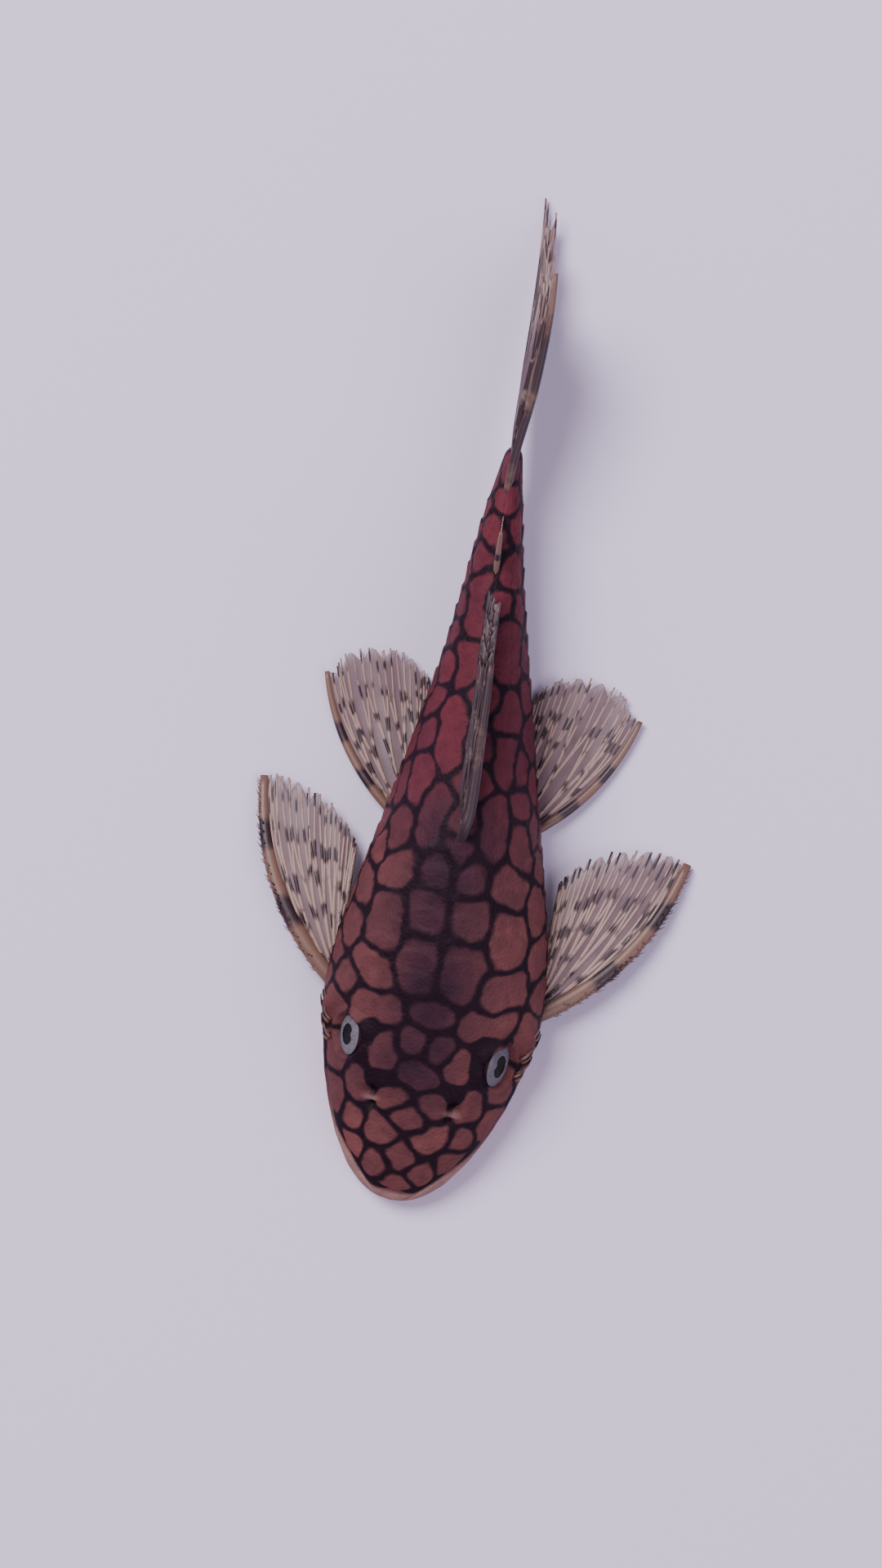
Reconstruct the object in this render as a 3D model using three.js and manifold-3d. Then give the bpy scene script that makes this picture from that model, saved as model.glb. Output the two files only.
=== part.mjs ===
// A young bristlenose pleco lying on its belly, life size, in millimetres.
// The snout points along -Y, the back faces +Z, and the animal rests on the plane Z = 0.
// Its body is one armoured form, parted by thin cuts into head, torso and tail. The fins are
// thin blades with a raised ridge for each ray, and they are cut to the body that they grow from.

import * as THREE from 'three';
import Module from 'manifold-3d';

const wasm = await Module();
wasm.setup();

// Driving dimensions. Lengths along the body are counted from the snout, along its curved midline.
const headLength = 12.3;
const bodyEnd = 45;
const shoulderHalfWidth = 6.5;
const snoutHeight = 1.35;
const napeRise = 5.55;
const touchGap = 0.3;
const headCut = 11.9;
const tailCut = 29.2;
const fleshMargin = 0.42;

// A smooth curve through a few knots [place, value].
function track(knots) {
  const slope = (a, b) => (b[1] - a[1]) / (b[0] - a[0]);
  const tangents = knots.map((k, i) => {
    const before = knots[Math.max(i - 1, 0)];
    const after = knots[Math.min(i + 1, knots.length - 1)];
    return slope(before, after);
  });
  return (x) => {
    const last = knots.length - 1;
    const at = THREE.MathUtils.clamp(x, knots[0][0], knots[last][0]);
    let i = 0;
    while (i < last - 1 && at > knots[i + 1][0]) i += 1;
    const span = knots[i + 1][0] - knots[i][0];
    const t = (at - knots[i][0]) / span;
    const t2 = t * t;
    const t3 = t2 * t;
    return (
      (2 * t3 - 3 * t2 + 1) * knots[i][1] +
      (t3 - 2 * t2 + t) * span * tangents[i] +
      (3 * t2 - 2 * t3) * knots[i + 1][1] +
      (t3 - t2) * span * tangents[i + 1]
    );
  };
}

const smooth = THREE.MathUtils.smoothstep;
const mix = THREE.MathUtils.lerp;
const degrees = THREE.MathUtils.degToRad;

// The midline seen from above: its heading away from +Y, in degrees, at places from the snout.
const heading = track([
  [0, 3.6],
  [8, 3.6],
  [12, 1.6],
  [16, 0.3],
  [24, -0.6],
  [30, -1.2],
  [36, -2.6],
  [40, -0.6],
  [44, 1.3],
  [48, 2.8],
  [52, 1.2],
  [56, -5.4],
  [60, -5.9],
  [62, -5.9],
]);
const midlineStep = 0.25;
const midline = [new THREE.Vector2(0, 0)];
for (let s = 0; s < 62; s += midlineStep) {
  const turn = degrees(heading(s + midlineStep / 2));
  const step = new THREE.Vector2(Math.sin(turn), Math.cos(turn)).multiplyScalar(midlineStep);
  midline.push(midline[midline.length - 1].clone().add(step));
}

// The frame of the midline at a place: where it is, which way is back, and which way is +X's side.
function midlineFrame(s) {
  const i = THREE.MathUtils.clamp(s / midlineStep, 0, midline.length - 2);
  const k = Math.floor(i);
  const point = midline[k].clone().lerp(midline[k + 1], i - k);
  const turn = degrees(heading(s));
  return {
    point,
    back: new THREE.Vector2(Math.sin(turn), Math.cos(turn)),
    side: new THREE.Vector2(Math.cos(turn), -Math.sin(turn)),
  };
}

// A point at s along the midline, t to its +X side and z above the floor, with the body's bend.
function place(s, t, z) {
  const { point, side } = midlineFrame(s);
  return new THREE.Vector3(point.x + side.x * t, point.y + side.y * t, z);
}

// The same with no bend past the place where a fin is rooted, because a fin isn't bent with the body.
function placeFrom(root) {
  const { point, back, side } = midlineFrame(root);
  return (s, t, z) =>
    new THREE.Vector3(
      point.x + back.x * (s - root) + side.x * t,
      point.y + back.y * (s - root) + side.y * t,
      z,
    );
}

// The body's outline from above, its back, its widest level and its underside.
const trunkHalfWidth = track([
  [headLength, shoulderHalfWidth],
  [16, 6.1],
  [19.3, 5.4],
  [22.8, 4.6],
  [28.8, 3.3],
  [34.4, 2.15],
  [39, 1.4],
  [42.4, 0.88],
  [bodyEnd, 0.45],
]);
const trunkTop = track([
  [headLength, snoutHeight + napeRise],
  [16.5, 7.9],
  [20.9, 8.4],
  [26, 7.95],
  [31.5, 7.05],
  [37.5, 6.3],
  [bodyEnd, 6.2],
]);
const widestLevel = track([
  [0, 1.25],
  [9, 1.9],
  [20, 2.0],
  [27, 2.5],
  [34, 3.4],
  [bodyEnd, 3.85],
]);
const underside = track([
  [0, 1.1],
  [1, 0.52],
  [3, 0.42],
  [10.5, 0.35],
  [13.5, -0.05],
  [23.5, -0.05],
  [28.5, 0.5],
  [33, 1.35],
  [38, 1.6],
  [bodyEnd, 1.5],
]);
const upperPower = track([
  [0, 2.0],
  [9, 2.05],
  [16, 2.1],
  [26, 1.9],
  [36, 2.0],
  [bodyEnd, 2.3],
]);
const lowerPower = track([
  [0, 2.4],
  [6, 3.6],
  [20, 3.8],
  [28, 2.8],
  [36, 2.2],
  [bodyEnd, 2.3],
]);

function halfWidth(s) {
  if (s > headLength) return trunkHalfWidth(s);
  const u = Math.max(s, 0) / headLength;
  return shoulderHalfWidth * (1 - (1 - u) ** 1.5) ** 0.48;
}

function topHeight(s) {
  if (s > headLength) return trunkTop(s);
  return snoutHeight + napeRise * (Math.max(s, 0) / headLength) ** 0.68;
}

// One side of a cross-section as [t, z]: w is 0 on the back's midline and 1 on the belly's.
function section(s, w) {
  const half = halfWidth(s);
  const level = widestLevel(s);
  const angle = Math.PI * THREE.MathUtils.clamp(w, 0, 1);
  const upper = angle <= Math.PI / 2;
  const power = 2 / (upper ? upperPower(s) : lowerPower(s));
  const out = Math.max(Math.sin(angle), 0) ** power;
  const rise = Math.abs(Math.cos(angle)) ** power;
  const reach = upper ? topHeight(s) - level : underside(s) - level;
  return [half * out, level + reach * rise];
}

// The outward normal of the body's surface, as [along, out, up].
function surfaceNormal(s, w) {
  const h = 0.02;
  const wLow = Math.max(w - h, 0);
  const wHigh = Math.min(w + h, 1);
  const back = section(s + h, w);
  const front = section(Math.max(s - h, 0.001), w);
  const low = section(s, wLow);
  const high = section(s, wHigh);
  const alongS = new THREE.Vector3(s + h - Math.max(s - h, 0.001), back[0] - front[0], back[1] - front[1]);
  const alongW = new THREE.Vector3(0, high[0] - low[0], high[1] - low[1]);
  const normal = alongS.cross(alongW);
  if (w === 0 || w === 1) normal.y = 0;
  return normal.normalize();
}

// The head's own forms, in millimetres above its plain surface: the gill covers, the brows that run
// from the eyes towards the nostrils, and the ridge along the nape.
const bell = (x) => Math.exp(-x * x);
function headRelief(s, w) {
  const gillCover = 0.24 * bell((s - 10.4) / 1.2) * bell((w - 0.4) / 0.07);
  const brow = 0.2 * bell((s - 7.6) / 1.8) * bell((w - 0.2) / 0.045);
  const nape = 0.2 * bell((s - 13.8) / 2.4) * bell(w / 0.05);
  return gillCover + brow + nape;
}

// A point of the body's surface, lifted outwards. side is 1 towards +X and -1 towards -X.
function bodyPoint(s, w, side, lift) {
  const [t, z] = section(s, w);
  const n = surfaceNormal(s, w);
  return place(s + n.x * lift, side * (t + n.y * lift), Math.max(z + n.z * lift, lift > 0.25 ? -1 : 0));
}

// Bony plates: columns along the flank in five rows a side, each raised towards its rear edge.
const plateColumns = 15;
const plateFirst = 13.2;
const plateLast = 42.6;
const platePitch = (plateLast - plateFirst) / plateColumns;
const plateRows = 5;
const plateLift = 0.2;
const plateBow = 0.55;
const plateRise = [
  [0.02, 0.1],
  [0.5, 0.55],
  [0.92, 1],
];
const plateAcross = [
  [0, 0],
  [0.16, 0.72],
  [0.5, 1],
  [0.84, 0.72],
];
const bellyColumns = 5;

// Where the lowest row of plates ends: at the belly's bare skin, and on the tail at its midline.
const plateEdge = (s) => mix(0.7, 0.985, smooth(s, 24, 31));

// The columns of points down one side: a place in the plated share, or in the bare belly.
function sideColumns() {
  const columns = [];
  for (let row = 0; row < plateRows; row += 1) {
    for (const [across, height] of plateAcross) {
      columns.push({ plated: (row + across) / plateRows, across, height });
    }
  }
  for (let i = 0; i <= bellyColumns; i += 1) {
    columns.push({ bare: i / bellyColumns, across: 0, height: 0 });
  }
  return columns;
}

// The rings along the body: closer together at the snout, then three to each column of plates.
function bodyRings() {
  const rings = [];
  const headRings = 14;
  for (let i = 1; i <= headRings; i += 1) {
    rings.push({ s: (plateFirst - 0.25) * (i / headRings) ** 1.5, rise: 0 });
  }
  for (let column = 0; column < plateColumns; column += 1) {
    for (const [phase, rise] of plateRise) {
      rings.push({ s: plateFirst + (column + phase) * platePitch, rise });
    }
  }
  rings.push({ s: bodyEnd - 1.2, rise: 0 });
  rings.push({ s: bodyEnd - 0.3, rise: 0 });
  return rings;
}

// A closed body from rings of points, with a pole at each end.
function loft(rings, start, end) {
  const count = rings[0].length;
  const points = rings.flat();
  const first = points.length;
  points.push(start, end);
  const faces = [];
  for (let i = 0; i < rings.length - 1; i += 1) {
    for (let j = 0; j < count; j += 1) {
      const a = i * count + j;
      const b = i * count + ((j + 1) % count);
      faces.push(a, b, b + count, a, b + count, a + count);
    }
  }
  const lastRing = (rings.length - 1) * count;
  for (let j = 0; j < count; j += 1) {
    const next = (j + 1) % count;
    faces.push(first, next, j);
    faces.push(first + 1, lastRing + j, lastRing + next);
  }
  return geometryOf(points, faces);
}

function geometryOf(points, faces) {
  const positions = new Float32Array(points.flatMap((p) => [p.x, p.y, p.z]));
  return new THREE.BufferGeometry()
    .setAttribute('position', new THREE.BufferAttribute(positions, 3))
    .setIndex(new THREE.BufferAttribute(new Uint32Array(faces), 1));
}

// The whole body with its plates, or where a margin is given, a plain body that much larger.
function bodyGeometry(margin = 0) {
  const columns = sideColumns();
  const both = [
    ...columns.map((c) => ({ ...c, side: 1 })),
    ...columns.slice(1, -1).reverse().map((c) => ({ ...c, side: -1 })),
  ];
  const rings = bodyRings().map((ring) =>
    both.map((column) => {
      const edge = plateEdge(ring.s);
      const w = column.bare === undefined ? column.plated * edge : mix(edge, 1, column.bare);
      const fade = smooth(ring.s, plateFirst - 0.6, plateFirst + 1.6) * (1 - smooth(ring.s, 41.5, 42.8));
      const bow = column.bare === undefined ? plateBow * (4 * column.across * (1 - column.across) - 0.5) : 0;
      const lift = plateLift * column.height * ring.rise * fade + headRelief(ring.s, w);
      return bodyPoint(ring.s + bow * fade, w, column.side, margin || lift);
    }),
  );
  const noseLevel = mix(underside(0), topHeight(0), 0.5);
  const tailLevel = mix(underside(bodyEnd), topHeight(bodyEnd), 0.5);
  return loft(rings, place(-margin, 0, noseLevel), place(bodyEnd + margin, 0, tailLevel));
}

// A closed surface as a solid to join or cut, and back again.
function solidOf(geometry) {
  const made = new wasm.Manifold(
    new wasm.Mesh({
      numProp: 3,
      vertProperties: geometry.getAttribute('position').array,
      triVerts: new Uint32Array(geometry.index.array),
    }),
  );
  if (made.volume() < 0) {
    const turned = geometry.index.array.slice();
    for (let i = 0; i < turned.length; i += 3) {
      [turned[i + 1], turned[i + 2]] = [turned[i + 2], turned[i + 1]];
    }
    return solidOf(geometry.clone().setIndex(new THREE.BufferAttribute(turned, 1)));
  }
  return made;
}

const largest = (solid) => solid.decompose().reduce((a, b) => (b.volume() > a.volume() ? b : a));

const model = new THREE.Group();

function addNode(name, solid, material) {
  const mesh = largest(solid).getMesh();
  const points = [];
  for (let i = 0; i < mesh.numVert; i += 1) {
    const at = i * mesh.numProp;
    points.push(new THREE.Vector3(...mesh.vertProperties.subarray(at, at + 3)));
  }
  const node = new THREE.Mesh(geometryOf(points, mesh.triVerts), material);
  node.name = name;
  model.add(node);
}

// A round tapered horn along a curve, closed to a point at both ends.
function horn(curve, radius, sides, steps) {
  const rings = [];
  for (let i = 0; i <= steps; i += 1) {
    const u = i / steps;
    const centre = curve.getPoint(u);
    const along = curve.getTangent(u);
    const across = new THREE.Vector3(0, 0, 1).cross(along).normalize();
    const up = along.clone().cross(across);
    const size = radius(u);
    rings.push(
      Array.from({ length: sides }, (_, k) => {
        const angle = (2 * Math.PI * k) / sides;
        return centre
          .clone()
          .addScaledVector(across, size * Math.cos(angle))
          .addScaledVector(up, size * Math.sin(angle));
      }),
    );
  }
  const before = curve.getPoint(0).addScaledVector(curve.getTangent(0), -radius(0) * 0.3);
  const after = curve.getPoint(1).addScaledVector(curve.getTangent(1), radius(1));
  return solidOf(loft(rings, before, after));
}

const skinMaterial = new THREE.MeshStandardMaterial({ color: 0x7a4a3c, roughness: 0.55, metalness: 0 });
const finMaterial = new THREE.MeshStandardMaterial({ color: 0xb08c92, roughness: 0.4, metalness: 0 });
const lipMaterial = new THREE.MeshStandardMaterial({ color: 0xc9a18f, roughness: 0.6, metalness: 0 });
const eyeMaterial = new THREE.MeshStandardMaterial({ color: 0x2a2420, roughness: 0.1, metalness: 0 });

// The body, and the same body made larger, which cuts every fin to the surface that it grows from.
let body = solidOf(bodyGeometry());
const bodyClearance = solidOf(bodyGeometry(fleshMargin));

// The eyes: a ball on each side of the head, half sunk, in a raised bony rim.
const eyeAt = 9.2;
const eyeOut = 3.98;
const eyeUp = 4.15;
const eyeRadius = 1.35;
const eyeTilt = 26;
const rimThickness = 0.3;

function eyeFrame(side) {
  const { back, side: across } = midlineFrame(eyeAt);
  const flat = across.clone().multiplyScalar(side).addScaledVector(back, -0.12).normalize();
  const out = Math.cos(degrees(eyeTilt));
  return {
    centre: place(eyeAt, side * eyeOut, eyeUp),
    axis: new THREE.Vector3(flat.x * out, flat.y * out, Math.sin(degrees(eyeTilt))),
  };
}

function orbitRim(side) {
  const { centre, axis } = eyeFrame(side);
  const ring = Array.from({ length: 8 }, (_, k) => {
    const angle = (2 * Math.PI * k) / 8;
    const reach = eyeRadius * 1.08 + rimThickness * Math.cos(angle);
    return new THREE.Vector2(reach, rimThickness * Math.sin(angle));
  });
  ring.push(ring[0].clone());
  const geometry = new THREE.LatheGeometry(ring, 20);
  geometry.applyQuaternion(new THREE.Quaternion().setFromUnitVectors(new THREE.Vector3(0, 1, 0), axis));
  geometry.translate(...centre.clone().addScaledVector(axis, eyeRadius * 0.42).toArray());
  return solidOf(closed(geometry));
}

// A geometry with its seams welded, so that it is one closed surface.
function closed(geometry) {
  const source = geometry.getAttribute('position');
  const index = geometry.index.array;
  const seen = new Map();
  const points = [];
  const renamed = Array.from({ length: source.count }, (_, i) => {
    const p = new THREE.Vector3().fromBufferAttribute(source, i);
    const key = p.toArray().map((x) => Math.round(x * 1e4)).join();
    if (!seen.has(key)) {
      seen.set(key, points.length);
      points.push(p);
    }
    return seen.get(key);
  });
  const faces = [];
  for (let i = 0; i < index.length; i += 3) {
    const [a, b, c] = [renamed[index[i]], renamed[index[i + 1]], renamed[index[i + 2]]];
    if (a !== b && b !== c && c !== a) faces.push(a, b, c);
  }
  return geometryOf(points, faces);
}

function ball(centre, radius, segments) {
  const geometry = new THREE.SphereGeometry(radius, segments, Math.round(segments * 0.6));
  geometry.translate(...centre.toArray());
  return solidOf(closed(geometry));
}

for (const side of [1, -1]) {
  body = body.add(orbitRim(side));
}
// The nostrils: a pair of pits on each side of the snout, parted by a low flap of skin.
const nostrilAt = 6.6;
const nostrilOut = 0.135;
const nostrilSize = 0.34;
for (const side of [1, -1]) {
  const flap = bodyPoint(nostrilAt, nostrilOut, side, 0.1);
  body = body.add(ball(flap, 0.45, 8));
  for (const [ahead, size] of [[-0.62, 0.8], [0.6, 1]]) {
    const pit = bodyPoint(nostrilAt + ahead, nostrilOut, side, 0.12);
    body = body.subtract(ball(pit, nostrilSize * size, 8));
  }
}

// The cheek's hooked spines, in a small tuft ahead of each gill opening.
const cheekSpines = 6;
for (const side of [1, -1]) {
  for (let k = 0; k < cheekSpines; k += 1) {
    const spread = k / (cheekSpines - 1);
    const at = 8.6 + 2.1 * spread;
    const root = bodyPoint(at, 0.43 + 0.03 * Math.sin(5 * k), side, -0.45);
    const length = 0.85 + 0.75 * spread;
    const [t, z] = section(at, 0.45);
    const tip = place(at + length * 0.75, side * (t + 0.32 + 0.2 * spread), z + 0.12 * Math.cos(4 * k));
    const knee = place(at + length * 0.2, side * (t + 0.42 + 0.15 * spread), z + 0.15);
    const curve = new THREE.QuadraticBezierCurve3(root, knee, tip);
    body = body.add(horn(curve, (u) => mix(0.27, 0.09, u), 5, 3));
  }
}

for (const [name, side] of [['eye_left', 1], ['eye_right', -1]]) {
  const { centre } = eyeFrame(side);
  addNode(name, ball(centre, eyeRadius, 16), eyeMaterial);
  body = body.subtract(ball(centre, eyeRadius + touchGap, 16));
}

// The sucker mouth: an oval disc of lips under the snout, hollow in the middle, with two jaw ridges.
const mouthAt = 4.7;
const mouthHalfWidth = 3.55;
const mouthHalfLength = 2.75;
const mouthThickness = 0.85;
const lipProfile = [
  [0, 0.4],
  [0.3, 0.38],
  [0.46, 0.26],
  [0.56, 0.08],
  [0.64, 0],
  [0.86, 0],
  [0.95, 0.1],
  [1, 0.3],
  [0.95, 0.6],
  [0.78, 0.8],
  [0, 1],
];

function mouthDisc(margin = 0) {
  const profile = lipProfile.map(([r, h], i) => {
    const under = i < 5 && margin ? -1 : h * mouthThickness;
    return new THREE.Vector2(r, i < 5 ? under : h * mouthThickness + margin * (h > 0.2 ? h : -3));
  });
  const geometry = new THREE.LatheGeometry(profile, 28);
  geometry.rotateX(Math.PI / 2);
  geometry.scale(mouthHalfWidth + margin, mouthHalfLength + margin, 1);
  const { point } = midlineFrame(mouthAt);
  geometry.rotateZ(-degrees(heading(mouthAt)));
  geometry.translate(point.x, point.y, 0);
  return solidOf(closed(geometry));
}

let mouth = mouthDisc();
for (const [ahead, width, bow] of [[-0.42, 1.15, -0.5], [0.5, 1.25, 0.55]]) {
  for (const side of [1, -1]) {
    const curve = new THREE.QuadraticBezierCurve3(
      place(mouthAt + ahead, side * 0.12, 0.42),
      place(mouthAt + ahead - bow * 0.1, side * width * 0.55, 0.36),
      place(mouthAt + ahead + bow, side * width, 0.42),
    );
    mouth = mouth.add(horn(curve, () => 0.24, 6, 5));
  }
}
addNode('sucker_mouth', mouth, lipMaterial);
body = body.subtract(mouthDisc(touchGap));

// A short whisker at each corner of the mouth, lying back along the lip.
for (const [name, side] of [['whisker_left', 1], ['whisker_right', -1]]) {
  const curve = new THREE.QuadraticBezierCurve3(
    place(mouthAt + 0.2, side * (mouthHalfWidth + 0.72), 0.34),
    place(mouthAt + 0.9, side * (mouthHalfWidth + 0.95), 0.3),
    place(mouthAt + 1.9, side * (mouthHalfWidth + 0.85), 0.26),
  );
  const solid = horn(curve, (u) => mix(0.27, 0.1, u), 8, 6);
  const room = horn(curve, (u) => mix(0.27, 0.1, u) + touchGap, 8, 6);
  addNode(name, solid, lipMaterial);
  body = body.subtract(room);
}

// The thin cuts that part the body, square to the midline.
function cutBody(solid, at) {
  const { point, back } = midlineFrame(at);
  const offset = point.dot(back);
  const normal = [back.x, back.y, 0];
  const [rear] = solid.splitByPlane(normal, offset + touchGap / 2);
  const [, front] = solid.splitByPlane(normal, offset - touchGap / 2);
  return [front, rear];
}

const [head, behindHead] = cutBody(body, headCut);
const [torso, tail] = cutBody(behindHead, tailCut);
addNode('head', head, skinMaterial);
addNode('torso', torso, skinMaterial);
addNode('tail', tail, skinMaterial);

// A fin is a blade over a grid: u runs along its rays, from inside the body to the tips, and v
// from its first ray to its last. Both faces are split into triangles alike.
const rayFoot = 0.3;

// Where the grid's columns are: on each ray, and at both feet of its ridge.
function rayColumns(rays) {
  const columns = [];
  for (let k = 0; k < rays; k += 1) {
    if (k > 0) columns.push({ v: (k - rayFoot) / (rays - 1), ridge: 0 });
    columns.push({ v: k / (rays - 1), ridge: 1, ray: k });
    if (k < rays - 1) columns.push({ v: (k + rayFoot) / (rays - 1), ridge: 0 });
  }
  return columns;
}

function finSolid({ rays, rows, point, membrane, ridge, notch, taper = 0.55 }) {
  const columns = rayColumns(rays);
  const step = 0.01;
  const faces = [];
  const sheets = [1, -1].map((face) =>
    rows.flatMap((u, i) =>
      columns.map((column) => {
        const reach = u * (column.ridge ? 1 : 1 - notch * smooth(u, 0.5, 1));
        const centre = point(reach, column.v);
        const alongU = point(reach + step, column.v).sub(point(reach - step, column.v));
        const alongV = point(reach, column.v + step).sub(point(reach, column.v - step));
        const normal = alongU.cross(alongV).normalize();
        const thin = mix(1, taper, smooth(u, 0.3, 1));
        const end = i === rows.length - 1 ? 0.55 : 1;
        const half = (membrane / 2 + column.ridge * ridge(column.v) * thin) * end;
        const made = centre.addScaledVector(normal, face * half);
        made.z = Math.max(made.z, 0);
        return made;
      }),
    ),
  );
  const count = columns.length;
  const below = rows.length * count;
  for (let i = 0; i < rows.length - 1; i += 1) {
    for (let j = 0; j < count - 1; j += 1) {
      const a = i * count + j;
      const c = a + count;
      faces.push(a, c, c + 1, a, c + 1, a + 1);
      faces.push(below + a, below + c + 1, below + c, below + a, below + a + 1, below + c + 1);
    }
  }
  const rim = (a, b) => faces.push(a, b, below + b, a, below + b, below + a);
  for (let j = 0; j < count - 1; j += 1) {
    rim(j, j + 1);
    rim((rows.length - 1) * count + j + 1, (rows.length - 1) * count + j);
  }
  for (let i = 0; i < rows.length - 1; i += 1) {
    rim((i + 1) * count, i * count);
    rim(i * count + count - 1, (i + 1) * count + count - 1);
  }
  return solidOf(geometryOf([...sheets[0], ...sheets[1]], faces));
}

function addFin(name, spec) {
  addNode(name, finSolid(spec).subtract(bodyClearance), finMaterial);
}

// Rows along the rays, the first of them inside the body.
const finRows = (inside, count) =>
  Array.from({ length: count }, (_, i) => mix(-inside, 1, i / (count - 1)));

// The pectoral fins: a broad curved spine and six soft rays, spread to each side, the left one more.
const pectoralRoot = 12.5;
const pectoralAngle = { left: 34.5, right: 28.5 };
const pectoralLength = track([
  [0, 12.4],
  [0.17, 12.1],
  [0.5, 10.2],
  [0.83, 7.8],
  [1, 6.2],
]);
for (const [name, side] of [['left', 1], ['right', -1]]) {
  const at = placeFrom(pectoralRoot);
  addFin(`pectoral_fin_${name}`, {
    rays: 7,
    rows: finRows(0.12, 8),
    membrane: 0.5,
    ridge: (v) => mix(0.42, 0.14, smooth(v, 0, 0.15)),
    notch: 0.07,
    point: (u, v) => {
      const angle = degrees(mix(pectoralAngle[name], 0.5, Math.sign(v) * Math.abs(v) ** 1.15));
      const length = pectoralLength(v);
      const bow = 1.25 * (1 - v) ** 2 * 4 * u * (1 - u);
      const s = pectoralRoot - 0.1 + 1.6 * v + u * length * Math.cos(angle) - bow * Math.sin(angle);
      const t = 6.3 - 0.25 * v + u * length * Math.sin(angle) + bow * Math.cos(angle);
      const z = 1.75 + 0.35 * v + 0.9 * u * (1 - u) - u * mix(1.4, 0.8, v);
      return at(s, side * t, z);
    },
  });
}

// The pelvic fins: a spine and five rays each, spread flat beside the belly.
const pelvicRoot = 23;
const pelvicAngle = { left: 35, right: 32.5 };
const pelvicLength = track([
  [0, 8.7],
  [0.2, 9.2],
  [0.5, 8.6],
  [0.8, 7.3],
  [1, 5.7],
]);
for (const [name, side] of [['left', 1], ['right', -1]]) {
  const at = placeFrom(pelvicRoot);
  addFin(`pelvic_fin_${name}`, {
    rays: 6,
    rows: finRows(0.14, 8),
    membrane: 0.5,
    ridge: (v) => mix(0.2, 0.1, smooth(v, 0, 0.15)),
    notch: 0.08,
    point: (u, v) => {
      const angle = degrees(mix(pelvicAngle[name], 7, Math.sign(v) * Math.abs(v) ** 0.8));
      const length = pelvicLength(v);
      const bow = 0.7 * (1 - v) ** 2 * 4 * u * (1 - u);
      const s = pelvicRoot + 2.2 * v + u * length * Math.cos(angle) - bow * Math.sin(angle);
      const t = 4.55 - 2 * v + u * length * Math.sin(angle) + bow * Math.cos(angle);
      const z = 0.92 - 0.42 * smooth(u, 0, 0.7) - 0.05 * v;
      return at(s, side * t, z);
    },
  });
}

// The dorsal fin, folded back: a spine and seven rays that lie close above the back.
const dorsalRoot = 20.9;
const dorsalBase = 10.1;
addFin('dorsal_fin', {
  rays: 8,
  rows: finRows(0.02, 8),
  membrane: 0.52,
  ridge: (v) => mix(0.3, 0.12, smooth(v, 0, 0.12)),
  notch: 0.06,
  point: (u, v) => {
    const root = dorsalRoot + dorsalBase * v;
    const length = mix(11.2, 5.4, v);
    const angle = degrees(mix(5.5, 1.5, v));
    const s = root + u * length * Math.cos(angle);
    const start = 1.25 * smooth(u, 0, 0.13) - 0.7;
    const z = topHeight(root) + start + u * length * Math.sin(angle) - 0.3 * u;
    return place(s, 0.16 * u * Math.sin(9 * v), z);
  },
});

// The adipose fin: a short spine with a small sail behind it.
const adiposeRoot = 37.3;
addFin('adipose_fin', {
  rays: 3,
  rows: finRows(0.2, 5),
  membrane: 0.5,
  ridge: (v) => mix(0.12, 0, smooth(v, 0, 0.4)),
  notch: 0,
  point: (u, v) => {
    const root = adiposeRoot + 2.5 * v;
    const length = mix(3.1, 1.0, v);
    const angle = degrees(mix(38, 20, v));
    return place(root + u * length * Math.cos(angle), 0, topHeight(root) - 0.35 + u * length * Math.sin(angle));
  },
});

// The anal fin: small, folded back under the tail.
const analRoot = 30.2;
addFin('anal_fin', {
  rays: 4,
  rows: finRows(0, 6),
  membrane: 0.5,
  ridge: (v) => mix(0.12, 0.06, v),
  notch: 0.05,
  point: (u, v) => {
    const root = analRoot + 2.2 * v;
    const length = mix(5.2, 3.6, v);
    return place(root + u * length, 0, underside(root) + 0.45 - u * mix(0.95, 0.65, v));
  },
});

// The caudal fin, half folded: fourteen rays between two stout edge rays, the lower lobe longer.
const caudalRoot = 42.2;
const caudalLength = track([
  [0, 13.2],
  [0.15, 12.0],
  [0.4, 10.8],
  [0.65, 12.0],
  [0.88, 16.0],
  [1, 17.8],
]);
addFin('caudal_fin', {
  rays: 14,
  rows: finRows(0, 7),
  membrane: 0.5,
  ridge: (v) => 0.1 + 0.16 * smooth(Math.abs(v - 0.5), 0.42, 0.5),
  notch: 0.05,
  point: (u, v) => {
    const length = caudalLength(v);
    const angle = degrees(mix(13, -4.5, v));
    const s = caudalRoot + u * length * Math.cos(angle);
    const z = mix(5.95, 1.75, v) + u * length * Math.sin(angle) + 0.35 * u * (1 - u) * (1 - 2 * v);
    const t = (0.2 - 0.4 * v) * smooth(u, 0, 0.8) + 0.4 * v * smooth(u, 0.6, 1) + 0.1 * u * Math.sin(11 * v);
    return place(s, t, Math.max(z, 0.26));
  },
});

// The origin is under the middle of the whole animal, on the floor.
const box = new THREE.Box3().setFromObject(model);
const middle = box.getCenter(new THREE.Vector3());
model.position.set(-middle.x, -middle.y, -box.min.z);

export default model;
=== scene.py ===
import math
import random
from functools import lru_cache

import bmesh
import bpy
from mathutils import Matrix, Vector, noise
from mathutils.kdtree import KDTree


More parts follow.
